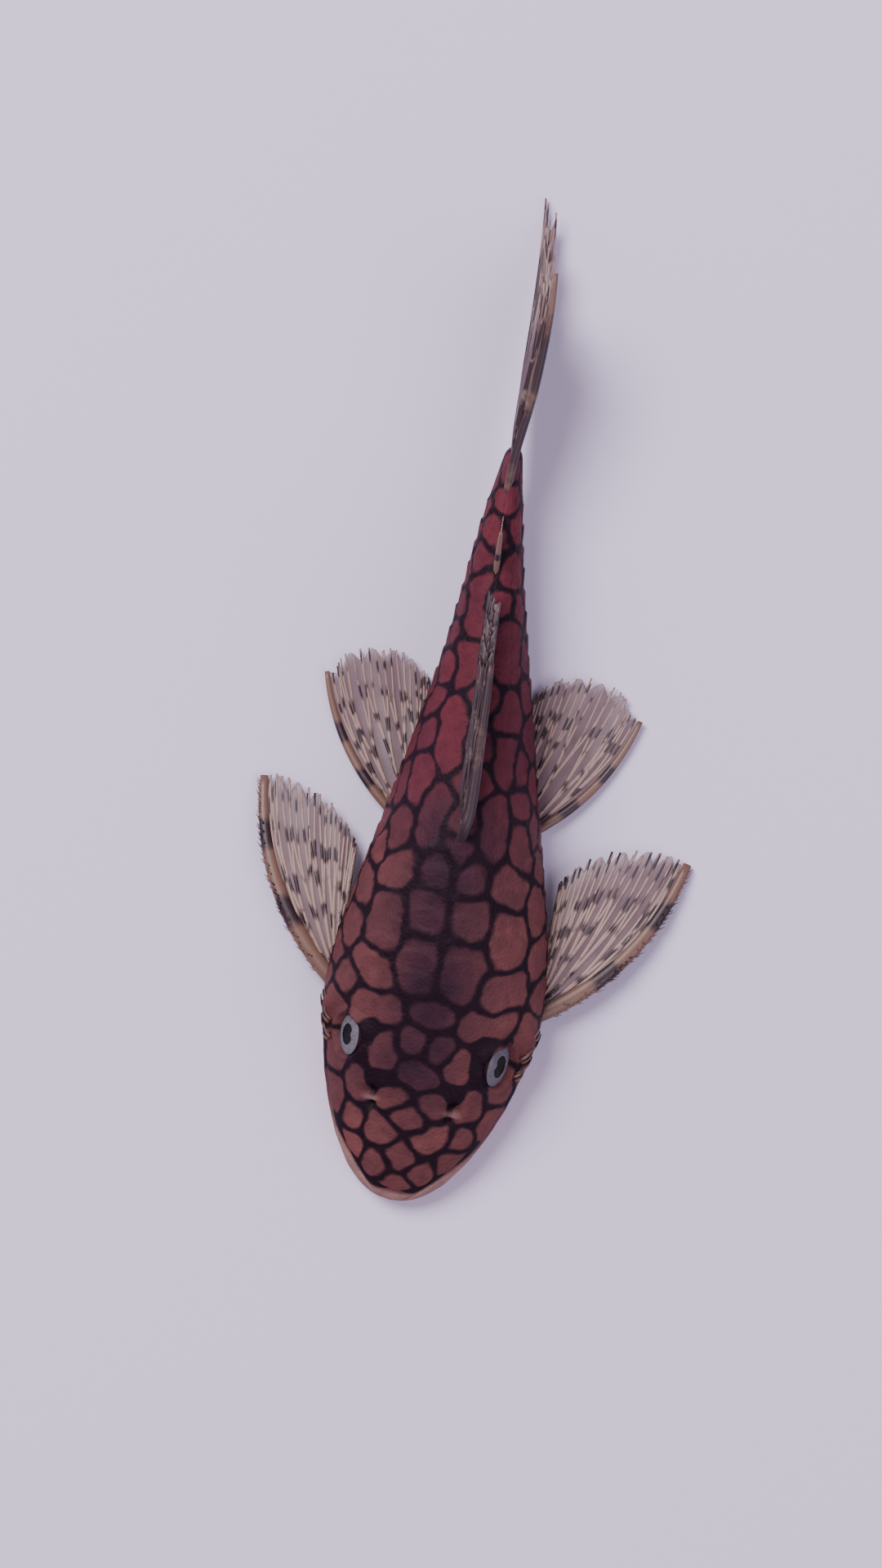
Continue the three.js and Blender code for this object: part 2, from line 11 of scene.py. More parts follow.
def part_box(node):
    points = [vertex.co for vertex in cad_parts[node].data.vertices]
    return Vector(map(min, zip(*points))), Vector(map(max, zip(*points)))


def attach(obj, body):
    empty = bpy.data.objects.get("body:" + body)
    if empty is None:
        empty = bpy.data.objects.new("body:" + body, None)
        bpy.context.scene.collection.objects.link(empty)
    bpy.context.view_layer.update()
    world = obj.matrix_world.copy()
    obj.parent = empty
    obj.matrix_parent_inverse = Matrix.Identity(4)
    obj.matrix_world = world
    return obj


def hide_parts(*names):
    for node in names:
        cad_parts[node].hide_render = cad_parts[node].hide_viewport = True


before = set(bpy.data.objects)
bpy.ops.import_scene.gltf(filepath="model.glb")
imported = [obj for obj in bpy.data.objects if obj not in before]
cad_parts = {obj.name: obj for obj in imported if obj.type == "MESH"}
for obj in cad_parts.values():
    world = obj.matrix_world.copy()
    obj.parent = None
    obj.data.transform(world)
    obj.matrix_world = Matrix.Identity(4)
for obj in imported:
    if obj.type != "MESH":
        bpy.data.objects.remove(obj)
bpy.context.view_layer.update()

# The body's plan: a small armoured catfish, 60 mm long, lying on its flat belly. Lengths run in
# millimetres from the snout along its bent midline, with t to its left and z up from the floor.
# The same few curves as in the solid model give its outline, back and underside.
MM = 0.001
head_length = 12.3
body_end = 45
shoulder_half_width = 6.5
snout_height = 1.35
nape_rise = 5.55
midline_step = 0.25


def mix(a, b, share):
    return a + (b - a) * share


def smooth(x, start, end):
    share = min(max((x - start) / (end - start), 0), 1)
    return share * share * (3 - 2 * share)


def bell(x):
    return math.exp(-x * x)


def track(*knots):
    """A smooth curve through a few knots (place, value)."""
    slopes = []
    for i in range(len(knots)):
        before = knots[max(i - 1, 0)]
        after = knots[min(i + 1, len(knots) - 1)]
        slopes.append((after[1] - before[1]) / (after[0] - before[0]))

    def curve(x):
        x = min(max(x, knots[0][0]), knots[-1][0])
        i = 0
        while i < len(knots) - 2 and x > knots[i + 1][0]:
            i += 1
        span = knots[i + 1][0] - knots[i][0]
        u = (x - knots[i][0]) / span
        rise = (3 - 2 * u) * u * u
        bend = u * (1 - u) ** 2 * slopes[i] - u * u * (1 - u) * slopes[i + 1]
        return mix(knots[i][1], knots[i + 1][1], rise) + span * bend

    return curve


heading = track(
    (0, 3.6), (8, 3.6), (12, 1.6), (16, 0.3), (24, -0.6), (30, -1.2), (36, -2.6),
    (40, -0.6), (44, 1.3), (48, 2.8), (52, 1.2), (56, -5.4), (60, -5.9), (62, -5.9),
)
midline = [Vector((0, 0))]
while len(midline) * midline_step < 64:
    turn = math.radians(heading((len(midline) - 0.5) * midline_step))
    midline.append(midline[-1] + midline_step * Vector((math.sin(turn), math.cos(turn))))


def midline_frame(s):
    """The midline's point at s, the way back along it, and the way to the animal's left."""
    i = min(max(s / midline_step, 0), len(midline) - 2)
    k = int(i)
    turn = math.radians(heading(s))
    back = Vector((math.sin(turn), math.cos(turn)))
    return midline[k].lerp(midline[k + 1], i - k), back, Vector((back.y, -back.x))


# The model's origin is under the whole animal, so the snout's place is read from the left eye.
eye_at = 9.2
eye_out = 3.98
eye_up = 4.15
point, _, side = midline_frame(eye_at)
low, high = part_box("eye_left")
snout = (Vector(low) + Vector(high)) / 2 - MM * Vector((*(point + side * eye_out), eye_up))


def place(s, t, z):
    point, _, side = midline_frame(s)
    point = point + side * t
    return snout + MM * Vector((point.x, point.y, z))


def place_from(root):
    """Like place, but straight past root, because a fin isn't bent with the body."""
    point, back, side = midline_frame(root)

    def straight(s, t, z):
        spot = point + back * (s - root) + side * t
        return snout + MM * Vector((spot.x, spot.y, z))

    return straight


trunk_half_width = track(
    (head_length, shoulder_half_width), (16, 6.1), (19.3, 5.4), (22.8, 4.6),
    (28.8, 3.3), (34.4, 2.15), (39, 1.4), (42.4, 0.88), (body_end, 0.45),
)
trunk_top = track(
    (head_length, snout_height + nape_rise), (16.5, 7.9), (20.9, 8.4), (26, 7.95),
    (31.5, 7.05), (37.5, 6.3), (body_end, 6.2),
)
widest_level = track((0, 1.25), (9, 1.9), (20, 2.0), (27, 2.5), (34, 3.4), (body_end, 3.85))
underside = track(
    (0, 1.1), (1, 0.52), (3, 0.42), (10.5, 0.35), (13.5, -0.05), (23.5, -0.05),
    (28.5, 0.5), (33, 1.35), (38, 1.6), (body_end, 1.5),
)
upper_power = track((0, 2.0), (9, 2.05), (16, 2.1), (26, 1.9), (36, 2.0), (body_end, 2.3))
lower_power = track((0, 2.4), (6, 3.6), (20, 3.8), (28, 2.8), (36, 2.2), (body_end, 2.3))


@lru_cache(maxsize=None)
def profile(s):
    """Half width, level of the widest place, top, bottom and the two roundnesses at s."""
    if s > head_length:
        half, top = trunk_half_width(s), trunk_top(s)
    else:
        share = max(s, 0) / head_length
        half = shoulder_half_width * (1 - (1 - share) ** 1.5) ** 0.48
        top = snout_height + nape_rise * share**0.68
    closing = max(s - (body_end - 0.6), 0) / 0.6
    half *= math.sqrt(max(1 - closing * closing, 0))
    return half, widest_level(s), top, underside(s), 2 / upper_power(s), 2 / lower_power(s)


def section(s, w):
    """One side of the body at s: w is 0 on the back's midline and 1 on the belly's."""
    half, level, top, bottom, upper, lower = profile(s)
    angle = math.pi * min(max(w, 0), 1)
    power = upper if w <= 0.5 else lower
    out = max(math.sin(angle), 0) ** power
    rise = abs(math.cos(angle)) ** power
    reach = (top if w <= 0.5 else bottom) - level
    return half * out, level + reach * rise


def top_height(s):
    return profile(s)[2]


def outward(s, w):
    """The body's outward normal as (along, out, up)."""
    front = max(s - 0.02, 0.001)
    t0, z0 = section(front, w)
    t1, z1 = section(s + 0.02, w)
    t2, z2 = section(s, max(w - 0.01, 0))
    t3, z3 = section(s, min(w + 0.01, 1))
    normal = Vector((s + 0.02 - front, t1 - t0, z1 - z0)).cross(Vector((0, t3 - t2, z3 - z2)))
    return normal.normalized()


def level_of(s, t):
    """The w of the back's surface at t beside the midline."""
    half = profile(s)[0]
    share = min(abs(t) / max(half, 0.01), 1)
    return math.asin(share ** (1 / profile(s)[4])) / math.pi


# The eyes stand on both sides of the head, each a ball turned outwards and up.
eye_radius = 1.35
eye_tilt = math.radians(26)
eye_axis = Vector((-0.12 * math.cos(eye_tilt), math.cos(eye_tilt), math.sin(eye_tilt))).normalized()
eye_centre = Vector((eye_at, eye_out, eye_up))


def socket(spot):
    """Opens the skin over the eye's ball, beds the ball in it and raises the bony rim around it."""
    away = spot - eye_centre
    height = away.dot(eye_axis)
    if height < -0.2:
        return spot
    radius = (away - height * eye_axis).length
    inside = 1 - smooth(radius, 1.2, 1.33)
    rim = 0.2 * bell((radius - 1.5) / 0.18)
    brow = 0.3 * bell((radius - 1.45) / 0.22) * smooth(away.z, 0.2, 1.1)
    bed = 0.8 * (1 - smooth(radius, 1.4, 2.5)) * max(height - 0.65, 0)
    hole = inside * max(height - bed - 0.35, 0)
    return spot + eye_axis * (rim + brow - bed - hole)


# The skin over the bony plates: one closed surface from the snout to the root of the tail fin.
# Five rows of plates a side are raised towards their rear edges, as in the living fish, and the
# head has its brows, gill covers, nostrils and the soft bare rim of the snout.
plate_first = 13.2
plate_last = 42.6
plate_columns = 23
plate_rows = 5
plate_lift = 0.12


def plate_edge(s):
    """Where the lowest row of plates ends: at the belly's bare skin, or on the tail's midline."""
    return mix(0.7, 0.985, smooth(s, 24, 31))


def plate_relief(s, w):
    row = w / plate_edge(s) * plate_rows
    if row > plate_rows:
        return 0
    across = row % 1
    rounded = 4 * across * (1 - across)
    column = (s - plate_first) / (plate_last - plate_first) * plate_columns
    column += 0.5 * int(row % 2) - 0.42 * rounded
    phase = column % 1
    ramp = 0.25 + 0.75 * phase
    rise = ramp * (1 - smooth(phase, 0.9, 1)) + 0.25 * smooth(phase, 0.9, 1)
    edge = smooth(rounded, 0, 0.35)
    keel = 0.3 * bell((across - 0.5) / 0.13) * (0.5 + 0.5 * phase)
    shown = smooth(s, plate_first - 1, plate_first + 1.5) * (1 - smooth(s, 41.6, 42.8))
    return plate_lift * (rise * (0.35 + 0.65 * edge) + keel - 0.3) * shown


# The nostrils are a front and a back pit with a small flap of skin between them.
nostril_at = 5.73
nostril_out = 2.43


def head_relief(s, w, t):
    gill_cover = 0.24 * bell((s - 10.4) / 1.2) * bell((w - 0.4) / 0.07)
    brow = 0.2 * bell((s - 7.6) / 1.8) * bell((w - 0.2) / 0.045)
    nape = 0.2 * bell((s - 13.8) / 2.4) * bell(w / 0.05)
    rim_line = -0.1 * bell((w - rim_edge(s)) / 0.014) * (1 - smooth(s, 7.5, 9.5))
    slit = -0.35 * bell((s - 11.6 + 1.2 * (w - 0.6)) / 0.22) * bell((w - 0.66) / 0.06)
    along, beside = s - nostril_at, t - nostril_out
    pit_front = -0.4 * bell(math.hypot(along + 0.33, beside + 0.08) / 0.26)
    pit_back = -0.5 * bell(math.hypot(along - 0.37, beside - 0.07) / 0.36)
    flap = 0.3 * bell(along / 0.13) * bell(beside / 0.38)
    fin_root = 0.3 * bell(w / 0.035) * smooth(s, 20.2, 21.4) * (1 - smooth(s, 31.5, 33))
    return gill_cover + brow + nape + rim_line + slit + pit_front + pit_back + flap + fin_root


def rim_edge(s):
    """Where the bare rim of the snout meets the plated skin."""
    return mix(0.26, 0.43, smooth(s, 0.2, 4.5))


def rim_reach(s, w):
    """Above 0 on the bare rim, which runs round the snout's front too, and below it behind."""
    return math.log(math.exp((w - rim_edge(s)) / 0.05) + math.exp((0.5 - s) / 0.25))


def skin_point(s, w):
    """A point of the skin on the left side, as (s, t, z) before the body's bend."""
    t, z = section(s, w)
    normal = outward(s, w)
    if w == 0 or w == 1:
        normal.y = 0
    grain = 0.035 * noise.noise(Vector((s * 1.3, t * 1.3, z * 1.3)))
    lift = plate_relief(s, w) + head_relief(s, w, t) + grain * smooth(s, 0, 2)
    spot = Vector((s, t, z)) + normal * lift
    if 6.5 < s < 12 and w < 0.5:
        spot = socket(spot)
    if w == 0 or w == 1:
        spot.y = 0
    return spot


# The net of dark lines around rounded pale cells. The rows are (s, t, half its length, its slant).
# Their places were read off the photograph by eye in pixels, and a scratch script changed them to
# millimetres along the midline. A paired row is roughly the mean of the two sides. Elsewhere, and
# down the flanks, a seeded draw fills the room that is left.
middle_cells = [
    (1.1, 0, 0, 0), (2.8, 0, 0.3, 60), (5.1, 0, 0.25, 90), (7.6, 0, 0.55, 90), (11.4, 0, 0.35, 90),
    (20.9, 0, 0, 0),
]
paired_cells = [
    (2.1, 1.5, 0, 0), (2.9, 3.0, 0.2, 40), (4.1, 1.55, 0.45, 55), (4.5, 3.4, 0.15, 30),
    (5.6, 4.65, 0.45, 25), (6.1, 3.35, 0.15, 40), (6.0, 1.3, 0.15, 90), (8.7, 2.2, 0.5, 45),
    (9.3, 0.9, 0.15, 0), (7.9, 5.15, 0.4, 15), (11.1, 3.2, 0.75, 65), (10.6, 5.7, 0.5, 10),
    (13.4, 4.1, 0.55, 40), (13.9, 1.3, 0.75, 5), (15.8, 5.6, 0.45, 0), (16.5, 3.75, 0.7, -10),
    (17.25, 1.4, 0.2, 0), (18.2, 5.2, 0.5, 0), (19.4, 3.35, 0.45, -30), (19.9, 1.0, 0.1, 0),
    (22.0, 3.6, 0.4, 0), (22.5, 1.75, 0.95, -5),
]
left_cells = [(26.7, 1.9, 0.35, 0), (29.4, 1.7, 0.35, 0), (32.9, 1.4, 1.0, 0), (28.1, 3.2, 0.3, 0)]
right_cells = [(24.9, 2.8, 0.7, 0), (27.8, 1.3, 1.0, 0), (32.0, 1.1, 0.4, 0), (35.6, 0.9, 0.8, 0)]
cell_spacing = 1.75
cell_tries = 5000

rng = random.Random(7)
cell_points = []
cell_tones = []


def add_cell(s, t, reach, slant, mirror):
    cell_tones.append(rng.uniform(-1, 1))
    for share in ([0] if reach == 0 else [-1, 0, 1]):
        along = s + share * reach * math.cos(math.radians(slant))
        beside = t + share * reach * math.sin(math.radians(slant))
        w = level_of(along, beside)
        out, z = section(along, w)
        spot = Vector((along, math.copysign(out, beside) * mirror, z))
        cell_points.append((spot, len(cell_tones) - 1))


for cell in middle_cells:
    add_cell(*cell, 1)
for s, t, reach, slant in paired_cells:
    for mirror in (1, -1):
        add_cell(s + rng.uniform(-0.15, 0.15), t + rng.uniform(-0.1, 0.1), reach, slant, mirror)
for cell in left_cells:
    add_cell(*cell, 1)
for cell in right_cells:
    add_cell(*cell, -1)
for _ in range(cell_tries):
    s = rng.uniform(1.5, body_end)
    w = rng.uniform(0, plate_edge(s) + 0.12)
    t, z = section(s, w)
    spot = Vector((s, rng.choice((-1, 1)) * t, z))
    room = cell_spacing * mix(1, 0.82, smooth(s, 24, 40))
    if all((spot - other).length > room for other, _ in cell_points):
        cell_tones.append(rng.uniform(-1, 1))
        cell_points.append((spot, len(cell_tones) - 1))

cell_tree = KDTree(len(cell_points))
for i, (spot, _) in enumerate(cell_points):
    cell_tree.insert(spot, i)
cell_tree.balance()


def drift(spot):
    """A smooth random vector that is the same in every run."""
    return Vector([noise.noise(spot + Vector((0, 0, 40 * i))) for i in range(3)])


def net(spot):
    """How far into its cell a point lies, in millimetres, and the cell's own tone."""
    wobble = 0.3 * drift(spot * 0.55) + 0.1 * drift(spot * 2.1)
    near = {}
    for _, i, distance in cell_tree.find_n(spot + wobble, 12):
        near.setdefault(cell_points[i][1], distance)
    (first, nearest), (_, second), (_, third) = list(near.items())[:3]
    sharp = 5
    far = math.exp(-sharp * (second - nearest)) + math.exp(-sharp * (third - nearest))
    return -math.log(far) / sharp / 2, cell_tones[first]


def finish_mesh(bm, name, material):
    """Turns a bmesh into a smooth shaded piece that rides on the body."""
    mesh = bpy.data.meshes.new(name)
    bmesh.ops.recalc_face_normals(bm, faces=bm.faces)
    bm.to_mesh(mesh)
    bm.free()
    mesh.polygons.foreach_set("use_smooth", [True] * len(mesh.polygons))
    mesh.materials.append(material)
    piece = bpy.data.objects.new(name, mesh)
    bpy.context.scene.collection.objects.link(piece)
    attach(piece, "root")
    return piece


def colour(code):
    """An sRGB hex colour as linear values."""
    parts = [int(code[i : i + 2], 16) / 255 for i in (0, 2, 4)]
    return (*[c / 12.92 if c <= 0.04045 else ((c + 0.055) / 1.055) ** 2.4 for c in parts], 1)


def add(material, kind, inputs=None, **settings):
    """Adds a node with its settings, and links or sets its inputs."""
    made = material.node_tree.nodes.new(kind)
    for key, value in settings.items():
        setattr(made, key, value)
    for key, value in (inputs or {}).items():
        if isinstance(value, bpy.types.NodeSocket):
            material.node_tree.links.new(value, made.inputs[key])
        else:
            made.inputs[key].default_value = value
    return made


def new_material(name, **values):
    material = bpy.data.materials.new(name)
    material.use_nodes = True
    shader = material.node_tree.nodes["Principled BSDF"]
    for key, value in values.items():
        shader.inputs[key.replace("_", " ")].default_value = value
    return material, shader


def connect(material, output, target):
    material.node_tree.links.new(output, target)


# Skin over bone: wet, finely toothed, and matt under water. The odontodes, tiny teeth 0.25 mm
# apart that cover every plate, break up the gloss, and pigment lies in cells within a dark net.
armour_skin, shader = new_material("armoured_skin", IOR=1.4, Specular_IOR_Level=0.14)
where = add(armour_skin, "ShaderNodeTexCoord").outputs["Object"]
net_depth_and_shade = add(armour_skin, "ShaderNodeAttribute", attribute_name="net").outputs["Fac"]
tone = add(armour_skin, "ShaderNodeAttribute", attribute_name="tone").outputs["Fac"]
bare = add(armour_skin, "ShaderNodeAttribute", attribute_name="bare").outputs["Fac"]
rim = add(armour_skin, "ShaderNodeAttribute", attribute_name="rim").outputs["Fac"]
rear = add(armour_skin, "ShaderNodeAttribute", attribute_name="rear").outputs["Fac"]
mottle = add(armour_skin, "ShaderNodeTexNoise", {"Vector": where, "Scale": 1400, "Detail": 4})
patches = add(armour_skin, "ShaderNodeTexNoise", {"Vector": where, "Scale": 160, "Detail": 2})
edge_wobble = add(
    armour_skin,
    "ShaderNodeMath",
    {0: mottle.outputs["Fac"], 1: 0.14, 2: -0.07},
    operation="MULTIPLY_ADD",
)
depth = add(armour_skin, "ShaderNodeMath", {0: net_depth_and_shade, 1: edge_wobble.outputs[0]}, operation="ADD")
in_cell = add(
    armour_skin,
    "ShaderNodeMapRange",
    {"Value": depth.outputs[0], "From Min": 0.06, "From Max": 0.26},
    interpolation_type="SMOOTHSTEP",
)
patch_share = add(
    armour_skin, "ShaderNodeMath", {0: patches.outputs["Fac"], 1: 0.9, 2: tone}, operation="MULTIPLY_ADD"
)
share = add(
    armour_skin,
    "ShaderNodeMath",
    {0: patch_share.outputs[0], 1: 0.45},
    operation="SUBTRACT",
    use_clamp=True,
)
side_colour = add(
    armour_skin, "ShaderNodeMix", {0: rear, 6: colour("643839"), 7: colour("5A222D")}, data_type="RGBA"
)
cell_colour = add(
    armour_skin,
    "ShaderNodeMix",
    {0: share.outputs[0], 6: colour("291523"), 7: side_colour.outputs[2]},
    data_type="RGBA",
)
# The net's dark line colour also paints the shade behind each nostril, which the net attribute carries.
netted = add(
    armour_skin,
    "ShaderNodeMix",
    {0: in_cell.outputs[0], 6: colour("170714"), 7: cell_colour.outputs[2]},
    data_type="RGBA",
)
rimmed = add(
    armour_skin, "ShaderNodeMix", {0: rim, 6: netted.outputs[2], 7: colour("84625F")}, data_type="RGBA"
)
bellied = add(
    armour_skin, "ShaderNodeMix", {0: bare, 6: rimmed.outputs[2], 7: colour("CBA79C")}, data_type="RGBA"
)
speckle = add(
    armour_skin,
    "ShaderNodeMapRange",
    {"Value": mottle.outputs["Fac"], "From Min": 0.3, "From Max": 0.7, "To Min": 0.82, "To Max": 1.14},
)
speckled = add(
    armour_skin,
    "ShaderNodeMix",
    {0: 1.0, 6: bellied.outputs[2], 7: speckle.outputs[0]},
    data_type="RGBA",
    blend_type="MULTIPLY",
)
connect(armour_skin, speckled.outputs[2], shader.inputs["Base Color"])
odontodes = add(armour_skin, "ShaderNodeTexVoronoi", {"Vector": where, "Scale": 4000})
teeth = add(
    armour_skin,
    "ShaderNodeMapRange",
    {
        "Value": odontodes.outputs["Distance"],
        "From Min": 0.1,
        "From Max": 0.55,
        "To Min": 1,
        "To Max": 0,
    },
)
roughness = add(
    armour_skin, "ShaderNodeMapRange", {"Value": mottle.outputs["Fac"], "To Min": 0.5, "To Max": 0.75}
)
connect(armour_skin, roughness.outputs[0], shader.inputs["Roughness"])
bump = add(
    armour_skin,
    "ShaderNodeBump",
    {"Height": teeth.outputs[0], "Strength": 0.35, "Distance": 0.08 * MM},
)
connect(armour_skin, bump.outputs[0], shader.inputs["Normal"])

skin_columns = 320
skin_rows = 184
rear_rounding = 0.8
bm = bmesh.new()
bmesh.ops.create_grid(bm, x_segments=skin_columns, y_segments=skin_rows, size=1)
net_and_shade_layer = bm.verts.layers.float.new("net")
tone_layer = bm.verts.layers.float.new("tone")
bare_layer = bm.verts.layers.float.new("bare")
rim_layer = bm.verts.layers.float.new("rim")
rear_layer = bm.verts.layers.float.new("rear")
for vert in bm.verts:
    s = body_end * ((vert.co.x + 1) / 2) ** 1.08
    w = abs(vert.co.y)
    mirror = 1 if vert.co.y > 0 else -1
    spot = skin_point(s, w)
    spot.x -= rear_rounding * smooth(s, 42, body_end) * math.cos(math.pi * w) ** 2
    spot.y *= mirror
    depth_in_cell, tone_of_cell = net(spot)
    nape = bell((s - 15.5) / 6) * bell(spot.y / 3.4)
    crown = smooth(s, 3, 8) * (1 - smooth(s, 21, 26.5)) * bell(spot.y / 3.6)
    by_eye = bell((s - eye_at) / 1.2) * bell((abs(spot.y) - 3.4) / 0.55)
    # Painted shade: the dark patch behind each nostril stands for the shade in the nostril's hollow. The
    # skin is also darker beside each eye and along the edge of the snout's bare rim. All three are drawn
    # in the net's dark line colour.
    nostril_shade = bell((s - 6.9) / 0.5) * bell((abs(spot.y) - 2.3) / 0.7)
    on_snout = 1 - smooth(s, 3, 5.5)
    rim_line = bell((rim_reach(s, w) + 0.75) / 0.4) * on_snout
    darkening_and_nostril_shade = max(by_eye, 0.8 * nostril_shade, 0.6 * rim_line)
    vert[net_and_shade_layer] = depth_in_cell / (1 + 0.8 * nape) - 0.85 * darkening_and_nostril_shade
    vert[tone_layer] = 0.75 + 0.14 * tone_of_cell - 0.65 * crown
    vert[rear_layer] = smooth(s, 18, 26.5)
    belly = smooth(w, plate_edge(s) - 0.08, plate_edge(s) + 0.03) * (1 - smooth(s, 29, 33))
    vert[bare_layer] = max(belly, smooth(w, 0.5, 0.6) * (1 - smooth(s, 9, 12)))
    nostril_flap = 0.6 * bell((s - nostril_at) / 0.15) * bell((abs(spot.y) - nostril_out) / 0.4)
    vert[rim_layer] = max(smooth(rim_reach(s, w), -0.4, 0.5) * on_snout, nostril_flap)
    vert.co = place(spot.x, spot.y, max(spot.z, 0.02))
bmesh.ops.remove_doubles(bm, verts=bm.verts, dist=0.004 * MM)
skin = finish_mesh(bm, "skin", armour_skin)
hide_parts("head", "torso", "tail")

# The eyes: wet balls with a silver-grey iris around a dark pupil. A small flap of iris hangs into
# the pupil from above, with which these catfish shade their eyes.
eye_material, shader = new_material("wet_eye", Roughness=0.4, IOR=1.38, Specular_IOR_Level=0.1)
ring = add(eye_material, "ShaderNodeAttribute", attribute_name="ring").outputs["Fac"]
where = add(eye_material, "ShaderNodeTexCoord").outputs["Object"]
flecks = add(eye_material, "ShaderNodeTexNoise", {"Vector": where, "Scale": 5000, "Detail": 3})
iris_colour = add(
    eye_material,
    "ShaderNodeMix",
    {0: flecks.outputs["Fac"], 6: colour("453F48"), 7: colour("7C7682")},
    data_type="RGBA",
)
iris = add(
    eye_material,
    "ShaderNodeMapRange",
    {"Value": ring, "From Min": 0.3, "From Max": 0.6},
    interpolation_type="SMOOTHSTEP",
)
outer = add(
    eye_material,
    "ShaderNodeMapRange",
    {"Value": ring, "From Min": 1.3, "From Max": 1.6},
    interpolation_type="SMOOTHSTEP",
)
with_pupil = add(
    eye_material,
    "ShaderNodeMix",
    {0: iris.outputs[0], 6: colour("0A0709"), 7: iris_colour.outputs[2]},
    data_type="RGBA",
)
with_edge = add(
    eye_material,
    "ShaderNodeMix",
    {0: outer.outputs[0], 6: with_pupil.outputs[2], 7: colour("221019")},
    data_type="RGBA",
)
connect(eye_material, with_edge.outputs[2], shader.inputs["Base Color"])

# The cornea is a clear wet dome over the flat iris.
cornea_material, shader = new_material(
    "clear_cornea", Roughness=0.12, IOR=1.34, Alpha=0.1, Specular_IOR_Level=0.3
)
shader.inputs["Base Color"].default_value = colour("0C0A10")

iris_radius = 1.24
iris_level = math.sqrt(eye_radius**2 - iris_radius**2)
pupil_radius = 0.66
for name, mirror in (("left", 1), ("right", -1)):
    axis = Vector((eye_axis.x, eye_axis.y * mirror, eye_axis.z))
    upwards = (Vector((0, 0, 1)) - axis.z * axis).normalized()
    sideways = axis.cross(upwards)
    bm = bmesh.new()
    bmesh.ops.create_uvsphere(bm, u_segments=96, v_segments=64, radius=eye_radius)
    ring_layer = bm.verts.layers.float.new("ring")
    for vert in bm.verts:
        x, y, height = vert.co
        radius = math.hypot(x, y)
        flap = bell(x / 0.17) * smooth(y, 0.3, 0.5)
        pupil = pupil_radius * (1 - 0.3 * flap)
        value = smooth(radius, pupil - 0.05, pupil + 0.05)
        value += smooth(radius, iris_radius - 0.06, iris_radius + 0.06)
        vert[ring_layer] = value if height > 0 else 2
        if height > iris_level:
            height = mix(iris_level, height, 0.25) - 0.08 * smooth(pupil - radius, -0.04, 0.08)
        spot = Vector((eye_at, eye_out * mirror, eye_up)) + sideways * x + upwards * y + axis * height
        vert.co = place(*spot)
    piece = finish_mesh(bm, f"eyeball_{name}", eye_material)
    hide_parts(f"eye_{name}")

    bm = bmesh.new()
    bmesh.ops.create_uvsphere(bm, u_segments=96, v_segments=64, radius=eye_radius)
    inner = [vert for vert in bm.verts if vert.co.z < iris_level - 0.04]
    bmesh.ops.delete(bm, geom=inner, context="VERTS")
    for vert in bm.verts:
        x, y, height = vert.co
        height = mix(iris_level, height, 0.75)
        spot = Vector((eye_at, eye_out * mirror, eye_up)) + sideways * x + upwards * y + axis * height
        vert.co = place(*spot)
    piece = finish_mesh(bm, f"cornea_{name}", cornea_material)
    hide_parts(f"eye_{name}")


def rod(bm, path, radius, dark, sides=8, flat=1.0, up=Vector((0, 0, 1)), stout=0):
    """A round tapered rod along a path, for fin rays, spines, whiskers and teeth.

    The material reads how dark each place is, and whether the rod is a stout spine.
    """
    steps = len(path) - 1
    layer = bm.verts.layers.float.get("dark") or bm.verts.layers.float.new("dark")
    stout_layer = bm.verts.layers.float.get("stout") or bm.verts.layers.float.new("stout")
    made = bmesh.ops.create_grid(bm, x_segments=steps + 2, y_segments=sides, size=1)["verts"]
    for vert in made:
        place_on = (vert.co.x + 1) / 2 * (steps + 2) - 1
        u = min(max(place_on / steps, 0), 1)
        i = min(int(u * steps), steps - 1)
        centre = path[i].lerp(path[i + 1], u * steps - i)
        along = (path[min(i + 2, steps)] - path[max(i - 1, 0)]).normalized()
        across = up.cross(along).normalized()
        over = along.cross(across)
        size = 0 if place_on < -0.5 or place_on > steps + 0.5 else radius(u) * MM
        angle = math.pi * vert.co.y
        vert.co = centre + size * (across * math.cos(angle) + over * flat * math.sin(angle))
        vert[layer] = dark(u)
        vert[stout_layer] = stout
    bmesh.ops.remove_doubles(bm, verts=made, dist=0.001 * MM)


# The fins: each is a thin clear membrane on bony rays that fork towards the edge. Dark flecks sit
# on the rays in rows, and the stout first ray of each fin is banded.
ray_material, shader = new_material("fin_ray_bone", Roughness=0.45, IOR=1.45)
dark = add(ray_material, "ShaderNodeAttribute", attribute_name="dark").outputs["Fac"]
where = add(ray_material, "ShaderNodeTexCoord").outputs["Object"]
grain = add(ray_material, "ShaderNodeTexNoise", {"Vector": where, "Scale": 2200, "Detail": 3})
darkness = add(
    ray_material,
    "ShaderNodeMath",
    {0: grain.outputs["Fac"], 1: 0.5, 2: dark},
    operation="MULTIPLY_ADD",
)
darkened = add(
    ray_material,
    "ShaderNodeMapRange",
    {"Value": darkness.outputs[0], "From Min": 0.5, "From Max": 0.95},
    interpolation_type="SMOOTHSTEP",
)
stout = add(ray_material, "ShaderNodeAttribute", attribute_name="stout").outputs["Fac"]
bone = add(
    ray_material, "ShaderNodeMix", {0: stout, 6: colour("8C716C"), 7: colour("65473F")}, data_type="RGBA"
)
ray_colour = add(
    ray_material,
    "ShaderNodeMix",
    {0: darkened.outputs[0], 6: bone.outputs[2], 7: colour("260F1B")},
    data_type="RGBA",
)
connect(ray_material, ray_colour.outputs[2], shader.inputs["Base Color"])
bump = add(
    ray_material,
    "ShaderNodeBump",
    {"Height": grain.outputs["Fac"], "Strength": 0.3, "Distance": 0.05 * MM},
)
connect(ray_material, bump.outputs[0], shader.inputs["Normal"])


